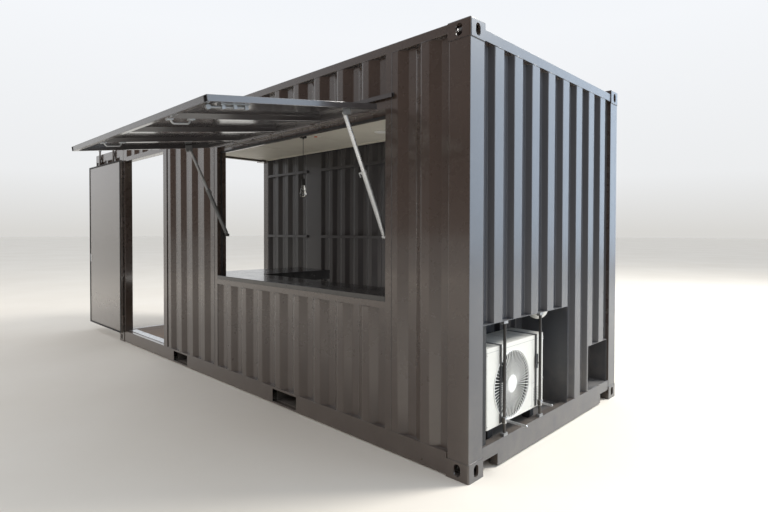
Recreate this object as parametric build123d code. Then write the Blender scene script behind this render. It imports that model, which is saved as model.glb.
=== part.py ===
from build123d import *
import math
import os

os.makedirs("parts", exist_ok=True)

# Millimetres. Origin: middle of the footprint on the ground.
# +X along the length towards the condenser end, -Y is the front wall with
# the serving hatch and the shop door, +Z up.

# ---------------------------------------------------------------- sizes
LENGTH = 6058.0
WIDTH = 2438.0
HEIGHT = 2896.0
XE = LENGTH / 2
YE = WIDTH / 2

CAST_X, CAST_Y, CAST_Z = 178.0, 162.0, 118.0
CAST_WALL = 16.0
CAST_PLATE = 28.0
APERTURE_X = 5853.0 / 2
APERTURE_Y = 2259.0 / 2

WALL_Y = 1213.0          # outer plane of the side walls and rails
END_X = 3022.0           # outer plane of the end wall and end rails
SHEET = 2.0              # side and end sheet
RIB_PITCH = 286.0        # side wall corrugation: crest 73, slope 70, root 73
RIB_CREST = 73.0
RIB_SLOPE = 70.0
RIB_DEPTH = 36.0
RIB_PHASE = 58.0         # front wall
BACK_PHASE = 92.0        # back wall
END_PITCH = 250.0        # end wall corrugation: crest 110, slope 18, root 104
END_CREST = 110.0
END_SLOPE = 18.0
END_DEPTH = 45.0

POST_IN_X = 2860.0       # inner edge of the corner posts on the long sides
POST_IN_Y = 1058.0       # inner edge of the corner posts on the end wall
RAIL_Z0, RAIL_TOP = 10.0, 155.0
END_RAIL_TOP = 180.0
TOP_Z0, TOP_Z1 = 2830.0, 2890.0
END_TOP_Z0, END_TOP_Z1 = 2787.0, 2857.0  # the end wall's top rail sits lower
FLOOR_T = 28.0

DOOR_X0, DOOR_X1 = -2810.0, -1510.0     # shop door opening
DOOR_TOP = 2550.0
HATCH_X0, HATCH_X1 = -150.0, 2300.0     # serving hatch opening
HATCH_Z0, HATCH_Z1 = 1070.0, 2450.0
FRAME_D = 100.0                          # depth of the opening frames

FLAP_AXIS_Y, FLAP_AXIS_Z = -1222.0, 2488.0
FLAP_REST = 82.0                         # degrees the flap is lifted at rest
FLAP_T = 38.0
FLAP_OUT_Y = -1214.0

SHOP_AXIS = (-2846.0, -1240.0)
CARGO_AXIS = (-3016.0, 1207.0)
LEAF_TOP = 2772.0
LEAF_BOTTOM = 168.0

AC_Y0, AC_Y1 = -960.0, -160.0
AC_X0, AC_X1 = 2705.0, 2985.0
AC_Z0, AC_Z1 = 252.0, 798.0
RECESS_X = 2615.0
RECESS_Y1 = 178.0
RECESS_Z1 = 970.0

nodes = {}


# ---------------------------------------------------------------- helpers
def bx(x0, x1, y0, y1, z0, z1):
    """Block between two corners."""
    return Pos((x0 + x1) / 2, (y0 + y1) / 2, (z0 + z1) / 2) * Box(
        abs(x1 - x0), abs(y1 - y0), abs(z1 - z0)
    )


def cyl(p, r, h, axis="Z"):
    """Round bar of length h centred on p along an axis."""
    rot = {"Z": (0, 0, 0), "X": (0, 90, 0), "Y": (90, 0, 0)}[axis]
    return Pos(*p) * Rot(*rot) * Cylinder(r, h)


def tube(x0, x1, y0, y1, z0, z1, t, axis):
    """Hollow rectangular section, open at both ends along its axis."""
    outer = bx(x0, x1, y0, y1, z0, z1)
    if axis == "X":
        inner = bx(x0 - 1, x1 + 1, y0 + t, y1 - t, z0 + t, z1 - t)
    elif axis == "Y":
        inner = bx(x0 + t, x1 - t, y0 - 1, y1 + 1, z0 + t, z1 - t)
    else:
        inner = bx(x0 + t, x1 - t, y0 + t, y1 - t, z0 - 1, z1 + 1)
    return outer - inner


def fuse(*parts):
    """One solid from parts that meet."""
    out = parts[0]
    for p in parts[1:]:
        out = out + p
    return out


def depth_at(u, pitch, crest, slope, phase, depth):
    """Depth of a trapezoid corrugation below its crest at u."""
    r = (u - phase) % pitch
    root = pitch - crest - 2 * slope
    if r <= crest:
        return 0.0
    if r <= crest + slope:
        return depth * (r - crest) / slope
    if r <= crest + slope + root:
        return depth
    return depth * (pitch - r) / slope


def wave(u0, u1, pitch, crest, slope, phase, depth, flat0=0.0, flat1=0.0):
    """Points (u, depth) of a corrugation between u0 and u1, flat at the ends."""
    root = pitch - crest - 2 * slope
    a, b = u0 + flat0, u1 - flat1
    pts = [(a, depth_at(a, pitch, crest, slope, phase, depth))]
    k = math.floor((a - phase) / pitch) - 1
    while phase + k * pitch < b + pitch:
        for off, d in ((0, 0.0), (crest, 0.0), (crest + slope, depth),
                       (crest + slope + root, depth)):
            u = phase + k * pitch + off
            if a + 1.0 < u < b - 1.0:
                pts.append((u, d))
        k += 1
    pts.append((b, depth_at(b, pitch, crest, slope, phase, depth)))
    if flat0:
        pts = [(u0, pts[0][1])] + pts
    if flat1:
        pts = pts + [(u1, pts[-1][1])]
    return pts


def sheet_side(x0, x1, z0, z1, side, **kw):
    """Corrugated side sheet; side -1 is the front wall, +1 the back wall."""
    pts = wave(x0, x1, RIB_PITCH, RIB_CREST, RIB_SLOPE, RIB_PHASE, RIB_DEPTH, **kw)
    outer = [(u, side * (WALL_Y - d)) for u, d in pts]
    inner = [(u, side * (WALL_Y - d - SHEET)) for u, d in reversed(pts)]
    face = make_face(Polyline(*[(u, v, 0) for u, v in outer + inner], close=True))
    return Pos(0, 0, z0) * extrude(face, z1 - z0, dir=(0, 0, 1))


def sheet_end(y0, y1, z0, z1, x_out, **kw):
    """Corrugated end sheet whose crests are on the plane x_out."""
    pts = wave(y0, y1, END_PITCH, END_CREST, END_SLOPE, 125.0 - END_CREST / 2,
               END_DEPTH, **kw)
    outer = [(x_out - d, u) for u, d in pts]
    inner = [(x_out - d - SHEET, u) for u, d in reversed(pts)]
    face = make_face(Polyline(*[(u, v, 0) for u, v in outer + inner], close=True))
    return Pos(0, 0, z0) * extrude(face, z1 - z0, dir=(0, 0, 1))


def slot_cut(p, long, wide, axis, along, h):
    """Obround cutter: axis is the way it goes through, along its long way."""
    r = wide / 2
    half = long / 2 - r
    step = {"X": (half, 0, 0), "Y": (0, half, 0), "Z": (0, 0, half)}[along]
    a = tuple(p[i] - step[i] for i in range(3))
    b = tuple(p[i] + step[i] for i in range(3))
    size = {"X": [0, 0, 0], "Y": [0, 0, 0], "Z": [0, 0, 0]}
    lo = [min(a[i], b[i]) for i in range(3)]
    hi = [max(a[i], b[i]) for i in range(3)]
    idx = {"X": 0, "Y": 1, "Z": 2}
    ia, il = idx[axis], idx[along]
    iw = 3 - ia - il
    lo[ia], hi[ia] = p[ia] - h / 2, p[ia] + h / 2
    lo[iw], hi[iw] = p[iw] - r, p[iw] + r
    return cyl(a, r, h, axis) + cyl(b, r, h, axis) + bx(lo[0], hi[0], lo[1], hi[1], lo[2], hi[2])


def hinge_rings(p, axis, r, rp, seg, gap=1.5):
    """Three-part knuckle centred on p: two fixed rings with their pin, one moving ring."""
    d = {"X": (1, 0, 0), "Z": (0, 0, 1)}[axis]
    off = seg + gap
    a = tuple(p[i] - d[i] * off for i in range(3))
    b = tuple(p[i] + d[i] * off for i in range(3))
    fixed = cyl(a, r, seg, axis) + cyl(b, r, seg, axis) + cyl(p, rp, seg * 3 + gap * 2, axis)
    moving = cyl(p, r, seg, axis) - cyl(p, rp + 0.1, seg + 2, axis)
    return fixed, moving


def group(parts):
    """Several separate solids kept in one piece list."""
    return Compound(children=[s for p in parts for s in p.solids()])


# ---------------------------------------------------------------- castings
def casting(sx, sy, top):
    """Hollow corner casting with its three apertures."""
    x0, x1 = sx * (XE - CAST_X), sx * XE
    y0, y1 = sy * (YE - CAST_Y), sy * YE
    z0, z1 = (HEIGHT - CAST_Z, HEIGHT) if top else (0.0, CAST_Z)
    xa, xb, ya, yb = min(x0, x1), max(x0, x1), min(y0, y1), max(y0, y1)
    block = bx(xa, xb, ya, yb, z0, z1)
    corner = [e for e in block.edges().filter_by(Axis.Z)
              if abs(e.center().X - sx * XE) < 1 and abs(e.center().Y - sy * YE) < 1]
    block = fillet(corner, 13.0)
    if top:
        block = fillet(block.faces().sort_by(Axis.Z)[-1].edges(), 9.0)
    plate_z = (z0 + CAST_WALL, z1 - CAST_PLATE) if top else (z0 + CAST_PLATE, z1 - CAST_WALL)
    block = block - bx(xa + CAST_WALL, xb - CAST_WALL, ya + CAST_WALL, yb - CAST_WALL, *plate_z)
    zc = z1 - CAST_PLATE / 2 if top else z0 + CAST_PLATE / 2
    zs = (z1 - 63.0) if top else (z0 + 63.0)
    block = block - slot_cut((sx * APERTURE_X, sy * APERTURE_Y, zc), 124.0, 63.5, "Z", "X", CAST_PLATE + 4)
    block = block - slot_cut((sx * (XE - 90.0), sy * (YE - CAST_WALL / 2), zs), 79.0, 51.0, "Y", "Z", CAST_WALL + 4)
    block = block - slot_cut((sx * (XE - CAST_WALL / 2), sy * (YE - 81.0), zs), 79.0, 51.0, "X", "Z", CAST_WALL + 4)
    return block


nodes["corner_castings"] = group(
    [casting(sx, sy, top) for sx in (-1, 1) for sy in (-1, 1) for top in (False, True)]
)

# ---------------------------------------------------------------- posts and rails
P0, P1 = CAST_Z, HEIGHT - CAST_Z


def front_post(sy):
    """Closed box section at the condenser end."""
    y0, y1 = sorted((sy * POST_IN_Y, sy * 1215.0))
    return tube(POST_IN_X, 3024.0, y0, y1, P0, P1, 6.0, "Z")


nodes["end_posts"] = group([front_post(-1), front_post(1)])

HINGE_Z_CARGO = (330.0, 970.0, 1750.0, 2560.0)


def rear_post(sy):
    """Box section beside the cargo doorway, pocketed where the hinges fold back."""
    y0, y1 = sorted((sy * 1170.0, sy * 1215.0))
    post = tube(-2995.0, -POST_IN_X, y0, y1, P0, P1, 6.0, "Z")
    for z in HINGE_Z_CARGO:
        post = post + bx(-2995.0, -2944.0, *sorted((sy * 1180.0, sy * 1215.0)), z - 26, z + 26)
        post = post - bx(-3000.0, -2950.0, *sorted((sy * 1192.0, sy * 1230.0)), z - 19, z + 19)
    return post


# door frame at the cargo end: posts, sill and header welded together
sill = tube(-2962.0, -2900.0, -YE + CAST_Y, YE - CAST_Y, RAIL_Z0, RAIL_TOP, 5.0, "Y")
header = tube(-2962.0, -2900.0, -YE + CAST_Y, YE - CAST_Y, 2782.0, TOP_Z1, 4.0, "Y")
rear = rear_post(-1) + rear_post(1) + sill + header
for s in (-1, 1):
    rear = rear + bx(-2962.0, -2900.0, *sorted((s * 1056.0, s * 1171.0)), CAST_Z, RAIL_TOP)
    rear = rear + bx(-2962.0, -2900.0, *sorted((s * 1052.0, s * 1057.0)), RAIL_Z0, RAIL_TOP)
nodes["rear_frame"] = rear


def bottom_side_rail(sy):
    """Channel with its web outside, cut for two fork pockets."""
    def b(x0, x1, ya, yb, z0, z1):
        lo, hi = sorted((sy * ya, sy * yb))
        return bx(x0, x1, lo, hi, z0, z1)
    x0, x1 = -XE + CAST_X, XE - CAST_X
    rail = b(x0, x1, WALL_Y - 6, WALL_Y, RAIL_Z0, RAIL_TOP)
    rail = rail + b(x0, x1, WALL_Y - 50, WALL_Y, RAIL_Z0, RAIL_Z0 + 6)
    rail = rail + b(x0, x1, WALL_Y - 50, WALL_Y, RAIL_TOP - 6, RAIL_TOP)
    for xc in (-1050.0, 1050.0):
        rail = rail - b(xc - 180, xc + 180, WALL_Y - 60, WALL_Y + 5, 20.0, 135.0)
    return rail


nodes["bottom_side_rails"] = group([bottom_side_rail(-1), bottom_side_rail(1)])


def top_side_rail(sy):
    y0, y1 = sorted((sy * (WALL_Y - 60), sy * WALL_Y))
    return tube(-XE + CAST_X, XE - CAST_X, y0, y1, TOP_Z0, TOP_Z1, 4.0, "X")


nodes["top_side_rails"] = group([top_side_rail(-1), top_side_rail(1)])

# bottom end rail with a lifting notch beside each casting
rail = bx(2966.0, END_X, -YE + CAST_Y, YE - CAST_Y, RAIL_Z0, END_RAIL_TOP)
rail = rail - bx(2972.0, END_X - 6, -YE + CAST_Y - 1, YE - CAST_Y + 1, RAIL_Z0 + 6, END_RAIL_TOP - 6)
for s in (-1, 1):
    ya, yb = sorted((s * 873.0, s * 1058.0))
    rail = rail - bx(2960.0, END_X + 2, ya, yb, RAIL_Z0 - 2, 92.0)
    rail = rail + bx(2966.0, END_X, *sorted((s * 873.0, s * 1057.0)), 92.0, 98.0)
    rail = rail + bx(2966.0, END_X, *sorted((s * 867.0, s * 873.0)), RAIL_Z0, 98.0)
nodes["end_rails"] = group([
    rail, fuse(tube(END_X - 60, END_X, -YE + CAST_Y, YE - CAST_Y, END_TOP_Z0, END_TOP_Z1, 4.0, "Y"),
               bx(2962.0, 2966.0, -YE + CAST_Y, YE - CAST_Y, 2850.0, 2886.0)),
])

# cross members: open channels between the side rails
cross = []
for x in (-2640, -2350, -2060, -1770, -1480, -620, -310, 0, 310, 620, 1480, 1770, 2060, 2350, 2640):
    c = bx(x - 22, x + 22, -WALL_Y + 50, WALL_Y - 50, 12.0, 127.0)
    c = c - bx(x - 17, x + 23, -WALL_Y, WALL_Y, 17.0, 122.0)
    cross.append(c)

# fork tunnels across the base
tunnels = []
for xc in (-1050.0, 1050.0):
    t = bx(xc - 185, xc + 185, -WALL_Y + 50, WALL_Y - 50, 14.0, 127.0)
    t = t - bx(xc - 180, xc + 180, -WALL_Y, WALL_Y, 20.0, 121.0)
    tunnels.append(t)
nodes["cross_members"] = group(cross)
nodes["fork_tunnels"] = group(tunnels)

floor = bx(-2899.0, 2965.0, -1162.0, 1162.0, RAIL_TOP - FLOOR_T, RAIL_TOP)
for s in (-1, 1):
    floor = floor - bx(POST_IN_X, 3000.0, *sorted((s * 1057.0, s * 1200.0)), 100.0, 200.0)
nodes["floor"] = floor
corner_clear = [
    bx(*sorted((sx * 2849.0, sx * 3050.0)), *sorted((sy * 1055.0, sy * 1250.0)), 2700.0, 2950.0)
    for sx in (-1, 1) for sy in (-1, 1)
]

# roof: shallow corrugation across the width
ROOF_PITCH, ROOF_CREST, ROOF_SLOPE, ROOF_D = 209.0, 91.0, 13.5, 20.0
up = [(-2899.0, 0.0)]
for px, d in wave(-2890.0, 2954.0, ROOF_PITCH, ROOF_CREST, ROOF_SLOPE, 0.0, ROOF_D):
    up.append((px, d))
up.append((2962.0, up[-1][1]))
top_pts = [(u, 2882.0 - d) for u, d in up]
low_pts = [(u, 2880.0 - d) for u, d in reversed(up)]
face = make_face(Polyline(*[(u, 0, v) for u, v in top_pts + low_pts], close=True))
roof = Pos(0, -1152.0, 0) * extrude(face, 2304.0, dir=(0, 1, 0))
ceiling = bx(-2899.0, 2955.0, -1112.0, 1148.0, 2812.0, 2820.0)
for c in corner_clear:
    roof = roof - c
    ceiling = ceiling - c
nodes["roof"] = roof
nodes["ceiling"] = ceiling

# ---------------------------------------------------------------- front wall
ZT = TOP_Z0
nodes["front_wall"] = group([
    sheet_side(2360.0, POST_IN_X, RAIL_TOP, ZT, -1),
    sheet_side(-150.0, 2300.0, RAIL_TOP, 1020.0, -1),
    sheet_side(-150.0, 2300.0, 2520.0, ZT, -1),
    sheet_side(-1410.0, -210.0, RAIL_TOP, ZT, -1),
    sheet_side(-2810.0, -1510.0, 2610.0, ZT, -1, flat0=35.0, flat1=35.0),
])

# hatch frame: two full-height jambs, sill and head, and the stops behind the flap
YF0, YF1 = -WALL_Y, -WALL_Y + FRAME_D
frame = tube(-210.0, HATCH_X0, YF0, YF1, RAIL_TOP, ZT, 4.0, "Z")
frame = frame + tube(HATCH_X1, 2360.0, YF0, YF1, RAIL_TOP, ZT, 4.0, "Z")
frame = frame + tube(HATCH_X0 - 1, HATCH_X1 + 1, YF0, YF1, 1020.0, HATCH_Z0, 4.0, "X")
frame = frame + tube(HATCH_X0 - 1, HATCH_X1 + 1, YF0, YF1, HATCH_Z1, 2520.0, 4.0, "X")
hatch_frame = frame
stop = bx(HATCH_X0, HATCH_X1, -1168.0, -1118.0, 2400.0, HATCH_Z1)
stop = stop + bx(HATCH_X0, HATCH_X0 + 25, -1170.0, -1162.0, 1112.0, 2400.0)
stop = stop + bx(HATCH_X1 - 25, HATCH_X1, -1170.0, -1162.0, 1112.0, 2400.0)
stop = stop + bx(HATCH_X0, HATCH_X1, -1170.0, -1162.0, 2390.0, HATCH_Z1)
hatch_frame = hatch_frame + stop
prof = Polyline((0, -WALL_Y, 2552), (0, -WALL_Y, 2519), (0, -1216, 2519), (0, -1216, 2541), (0, -1238, 2536.5),
                (0, -1238, 2512), (0, -1241, 2512), (0, -1241, 2539), (0, -1216, 2544.5), (0, -1216, 2552), close=True)
nodes["hatch_flashing"] = Pos(-210.0, 0, 0) * extrude(make_face(prof), 2594.0, dir=(1, 0, 0))

# shop door frame: two full-height jambs and a lintel
frame = tube(-POST_IN_X, DOOR_X0, YF0, YF1, RAIL_TOP, ZT, 4.0, "Z")
frame = frame + tube(DOOR_X1, -1410.0, YF0, YF1, RAIL_TOP, ZT, 4.0, "Z")
frame = frame + tube(DOOR_X0 - 1, DOOR_X1 + 1, YF0, YF1, DOOR_TOP, 2610.0, 4.0, "X")
frame = frame + bx(DOOR_X0, DOOR_X1, -1162.0, -1060.0, RAIL_TOP, RAIL_TOP + 5)
nodes["shop_door_frame"] = frame

# ---------------------------------------------------------------- back wall
FLAT_X0, FLAT_X1 = -1690.0, -1390.0
p_l = [q for q in wave(-POST_IN_X, FLAT_X0, RIB_PITCH, RIB_CREST, RIB_SLOPE, BACK_PHASE, RIB_DEPTH) if q[0] < FLAT_X0 - 45]
p_r = [q for q in wave(FLAT_X1, POST_IN_X, RIB_PITCH, RIB_CREST, RIB_SLOPE, BACK_PHASE, RIB_DEPTH) if q[0] > FLAT_X1 + 45]
pts = p_l + [(FLAT_X0, RIB_DEPTH), (FLAT_X1, RIB_DEPTH)] + p_r
outer = [(u, WALL_Y - d) for u, d in pts]
inner = [(u, WALL_Y - d - SHEET) for u, d in reversed(pts)]
face = make_face(Polyline(*[(u, v, 0) for u, v in outer + inner], close=True))
nodes["back_wall"] = Pos(0, 0, RAIL_TOP) * extrude(face, ZT - RAIL_TOP, dir=(0, 0, 1))
rails = []
for z in (1495.0, 2525.0):
    for x0, x1 in ((-2850.0, -1720.0), (-1370.0, 2600.0)):
        rails.append(tube(x0, x1, 1150.0, 1175.0, z - 20, z + 20, 2.5, "X"))
nodes["wall_rails"] = group(rails)

# ---------------------------------------------------------------- end wall
INLET_Y0, INLET_Y1, INLET_Z1 = 590.0, 1020.0, 575.0
nodes["end_wall_upper"] = sheet_end(-POST_IN_Y, POST_IN_Y, RECESS_Z1, END_TOP_Z0, END_X)
nodes["end_wall_lower"] = (
    sheet_end(RECESS_Y1, POST_IN_Y, END_RAIL_TOP, RECESS_Z1, END_X)
    - bx(2900.0, 3100.0, INLET_Y0, INLET_Y1, END_RAIL_TOP - 1, INLET_Z1)
)

# condenser recess: floor, top, two sides, back with the same corrugation
r = bx(RECESS_X, 2965.0, -1058.0, RECESS_Y1, 155.0, 158.0)
r = r + bx(RECESS_X, END_X, -1058.0, RECESS_Y1, RECESS_Z1 - 3, RECESS_Z1)
r = r + bx(RECESS_X, 3017.0, RECESS_Y1, RECESS_Y1 + 3, 155.0, RECESS_Z1) - bx(2965.0, 3030.0, 170.0, 190.0, 150.0, END_RAIL_TOP)
r = r + bx(RECESS_X, 2965.0, -1058.0, -1055.0, 155.0, RECESS_Z1) + bx(2964.0, 3017.0, -1058.0, -1055.0, END_RAIL_TOP, RECESS_Z1)
r = r + bx(3000.0, 3004.0, -1058.0, -991.0, END_RAIL_TOP, RECESS_Z1 - 1)
nodes["condenser_recess"] = r
nodes["recess_back"] = sheet_end(-1058.0, RECESS_Y1 + 3, 155.0, RECESS_Z1, RECESS_X)
# small inlet recess beside it
q = bx(2857.0, 3019.0, INLET_Y0, INLET_Y1, END_RAIL_TOP, INLET_Z1)
q = q - bx(2860.0, 3030.0, INLET_Y0 + 3, INLET_Y1 - 3, END_RAIL_TOP + 3, INLET_Z1 - 3)
nodes["inlet_recess"] = q

# ---------------------------------------------------------------- condenser
GR_Y, GR_Z, GR_R = -625.0, 500.0, 236.0
case = bx(AC_X0, AC_X1, AC_Y0, AC_Y1, AC_Z0, AC_Z1)
case = fillet(case.edges().filter_by(Axis.Z), 18.0)
case = case - cyl((AC_X1 - 20, GR_Y, GR_Z), GR_R, 60.0, "X")
case = case - bx(AC_X0 + 12, AC_X1 - 12, AC_Y0 + 12, AC_Y1 - 12, AC_Z0 + 12, AC_Z1 - 12)
nodes["condenser_case"] = case
ring = cyl((AC_X1 - 4, GR_Y, GR_Z), GR_R - 1, 8.0, "X") - cyl((AC_X1 - 4, GR_Y, GR_Z), GR_R - 9, 12.0, "X")
ring = ring + cyl((AC_X1 - 4, GR_Y, GR_Z), 62.0, 8.0, "X")
for i in range(60):
    ang = 6.0 * i
    bar = Pos(AC_X1 - 4, GR_Y, GR_Z) * Rot(ang, 0, 0) * Pos(0, (GR_R - 5 + 58) / 2, 0) * Box(4, GR_R - 5 - 58, 2.6)
    ring = ring + bar
nodes["condenser_grille"] = ring
blocks = []
for y in (AC_Y0 + 110, AC_Y1 - 110):
    for x in (AC_X0 + 40, AC_X1 - 76):
        b = bx(x - 38, x + 38, y - 30, y + 30, 158.0, AC_Z0)
        blocks.append(chamfer(b.edges().filter_by(Axis.Y), 14.0))
nodes["condenser_feet"] = group(blocks)
straps = []
for y in (-785.0, -288.0):
    s = bx(AC_X0 + 40, AC_X1 + 5, y - 12, y + 12, AC_Z1, AC_Z1 + 4)
    s = s + bx(AC_X1 + 1, AC_X1 + 5, y - 12, y + 12, 262.0, AC_Z1 + 4)
    straps.append(s)
nodes["condenser_straps"] = group(straps)

# guard bars in the recess mouth, held by brackets, with lever handles
bars = []
for y, reach in ((-770.0, 150.0), (-262.0, 80.0)):
    b = cyl((3009.0, y, 573.5), 11.0, 785.0, "Z")
    b = b + bx(2992.0, 3022.0, y - 26, y + 26, 180.0, 200.0) + bx(2992.0, 3020.0, y - 26, y + 26, 948.0, 967.0)
    b = b + cyl((3009.0, y, 285.0), 18.0, 34.0, "Z")
    b = b + bx(3022.0, 3024.0 + reach, y - 4, y + 4, 277.0, 293.0)
    b = b + cyl((3024.0 + reach, y, 285.0), 8.0, 8.0, "Y")
    bars.append(b)
nodes["guard_bars"] = group(bars)
cap = Pos(2890.0, -85.0, RECESS_Z1 - 5) * Sphere(82.0)
cap = cap & bx(2780.0, 3000.0, -200.0, 30.0, RECESS_Z1 - 3 - 90, RECESS_Z1 - 3)
nodes["recess_lamp"] = cap

# ---------------------------------------------------------------- bench and lights
BENCH_Z = 1110.0
top = bx(HATCH_X0, HATCH_X1, -1216.0, -1100.0, HATCH_Z0, BENCH_Z)
top = top + bx(-600.0, 2545.0, -1112.0, -800.0, HATCH_Z0, BENCH_Z)
top = top + bx(-600.0, 70.0, -801.0, 130.0, HATCH_Z0, BENCH_Z)
top = top + bx(50.0, 2545.0, -820.0, -800.0, 1000.0, HATCH_Z0)
top = top + bx(50.0, 70.0, -820.0, 130.0, 1000.0, HATCH_Z0)
top = top + bx(-600.0, 70.0, 110.0, 130.0, 1000.0, HATCH_Z0)
nodes["bench_top"] = top
legs = []
for x, y in ((-575.0, 85.0), (25.0, 85.0), (-575.0, -845.0), (25.0, -845.0), (1300.0, -845.0), (2515.0, -845.0)):
    legs.append(tube(x - 20, x + 20, y - 20, y + 20, RAIL_TOP, HATCH_Z0, 2.5, "Z"))
nodes["bench_legs"] = group(legs)

CEIL = 2812.0
LX, LY = -567.0, 212.0
rose = cyl((LX, LY, CEIL - 11), 45.0, 22.0)
rose = rose + cyl((LX, LY, CEIL - 30), 9.0, 18.0)
nodes["pendant_rose"] = rose
FLEX_TOP, FLEX_LOW = CEIL - 39.0, 2258.0
nodes["pendant_flex"] = cyl((LX, LY, (FLEX_TOP + FLEX_LOW) / 2), 3.5, FLEX_TOP - FLEX_LOW)
lamp = cyl((LX, LY, 2214.0), 22.0, 88.0) + Pos(LX, LY, 2060.0) * Sphere(45.0)
lamp = lamp + Pos(LX, LY, 2125.0) * Cone(40.0, 20.0, 92.0)
nodes["pendant_lamp"] = lamp
nodes["ceiling_light"] = cyl((391.0, 676.0, CEIL - 6), 78.0, 12.0)

# ---------------------------------------------------------------- hatch flap
AX = Axis((0, FLAP_AXIS_Y, FLAP_AXIS_Z), (1, 0, 0))


def lift(shape):
    """Closed position to the lifted rest position."""
    return shape.rotate(AX, -FLAP_REST)


FX0, FX1 = HATCH_X0 + 7, HATCH_X1 - 7
FZ0, FZ1 = 1139.0, 2413.0
FO, FI = FLAP_OUT_Y, FLAP_OUT_Y + FLAP_T
ff = tube(FX0, FX0 + 40, FO, FI, FZ0, FZ1, 2.5, "Z")
ff = ff + tube(FX1 - 40, FX1, FO, FI, FZ0, FZ1, 2.5, "Z")
ff = ff + tube(FX0 + 39, FX1 - 39, FO, FI, FZ1 - 40, FZ1, 2.5, "X")
ff = ff + tube(FX0 + 39, FX1 - 39, FO, FI, FZ0, FZ0 + 40, 2.5, "X")
nodes["flap_frame"] = lift(ff)
# flat sheet with three stiffening ribs from the hinge side to the outer edge
FLAP_RIBS = (466.0, 1075.0, 1684.0)
sp = [(FX0 + 40, 0.0)]
for u in FLAP_RIBS:
    sp += [(u - 42, 0.0), (u - 30, FLAP_T - SHEET), (u + 30, FLAP_T - SHEET), (u + 42, 0.0)]
sp += [(FX1 - 40, 0.0)]
outer = [(u, FO + d) for u, d in sp]
inner = [(u, FO + d + SHEET) for u, d in reversed(sp)]
face = make_face(Polyline(*[(u, v, 0) for u, v in outer + inner], close=True))
nodes["flap_skin"] = lift(Pos(0, 0, FZ0 + 40) * extrude(face, FZ1 - FZ0 - 80, dir=(0, 0, 1)))


def grab(xc):
    """U handle of round bar on a rib of the flap, near its outer edge."""
    y0, za, zb = FI, 1205.0, 1330.0
    path = Polyline((xc, y0 + 3, za), (xc, y0 + 19, za + 6), (xc, y0 + 27, za + 17),
                    (xc, y0 + 27, zb - 17), (xc, y0 + 19, zb - 6), (xc, y0 + 3, zb))
    bar = sweep(Plane(origin=(xc, y0 + 3, za), z_dir=(0, 16, 6)) * Circle(6.0), path, transition=Transition.ROUND)
    pads = bx(xc - 16, xc + 16, y0, y0 + 5, za - 26, za + 13) + bx(xc - 16, xc + 16, y0, y0 + 5, zb - 13, zb + 28)
    return bar + pads


nodes["flap_handles"] = lift(group([grab(FLAP_RIBS[2]), grab(FLAP_RIBS[0])]))


def bolt(xc, s):
    """Slide bolt along the side beam near the outer corner."""
    b = bx(xc - 24, xc + 24, FI - 6, FI + 4, 1240.0, 1420.0)
    b = b + bx(xc - 24, xc + 24, FO + SHEET, FI - 5, 1405.0, 1420.0) + bx(xc - 24, xc + 24, FO + SHEET, FI - 5, 1240.0, 1255.0)
    b = b + cyl((xc, FI + 16, 1285.0), 8.0, 250.0)
    for z in (1258.0, 1330.0, 1402.0):
        b = b + bx(xc - 15, xc + 15, FI, FI + 27, z - 11, z + 11)
    b = b + cyl((xc, FI + 16, 1172.0), 14.0, 16.0, "X")
    return b


nodes["flap_bolts"] = lift(bolt(FX1 - 66, -1))

# hinges of the flap
fixed, moving = [], []
for xc in (120.0, 760.0, 1390.0, 2030.0):
    f, m = hinge_rings((xc, FLAP_AXIS_Y, FLAP_AXIS_Z), "X", 9.0, 4.5, 40.0)
    for s in (-1, 1):
        f = f + bx(xc + s * 41.5 - 20, xc + s * 41.5 + 20, FLAP_AXIS_Y - 1, FLAP_AXIS_Y + 9, FLAP_AXIS_Z, 2508.0)
    fixed.append(f)
    m = m + bx(xc - 20, xc + 20, FLAP_AXIS_Y + 3.5, FLAP_AXIS_Y + 8, 2345.0, FLAP_AXIS_Z - 6)
    moving.append(lift(m))
nodes["hatch_hinges"] = group(fixed)
flap_lugs = list(moving)

# ---------------------------------------------------------------- telescopic stays
U_CL = (FLAP_AXIS_Y + 68.0, FLAP_AXIS_Z - 326.0)     # upper pivot, flap closed
th = math.radians(FLAP_REST)
dy, dz = U_CL[0] - FLAP_AXIS_Y, U_CL[1] - FLAP_AXIS_Z
U_RE = (FLAP_AXIS_Y + dy * math.cos(th) + dz * math.sin(th),
        FLAP_AXIS_Z - dy * math.sin(th) + dz * math.cos(th))
P_LOW = (-1140.0, 1535.0)
stay_len = math.hypot(P_LOW[0] - U_RE[0], P_LOW[1] - U_RE[1])
closed_len = math.hypot(P_LOW[0] - U_CL[0], P_LOW[1] - U_CL[1])
ROD_L, TUBE_L = 592.0, 511.0
STAY_X = {"right": 2226.0, "left": -76.0}
print("stay rest", round(stay_len, 2), "closed", round(closed_len, 2), "U_rest", U_RE)
a_re = math.degrees(math.atan2(P_LOW[1] - U_RE[1], P_LOW[0] - U_RE[0]))
a_cl = math.degrees(math.atan2(P_LOW[1] - U_CL[1], P_LOW[0] - U_CL[0]))
print("stay turn on flap", round(a_cl - a_re - FLAP_REST, 4), "slide", round(stay_len - closed_len, 3))


def along_stay(shape):
    """From a stay built hanging down at the origin to its rest place."""
    tilt = math.degrees(math.atan2(P_LOW[0] - U_RE[0], U_RE[1] - P_LOW[1]))
    return Pos(0, U_RE[0], U_RE[1]) * Rot(tilt, 0, 0) * shape


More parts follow.
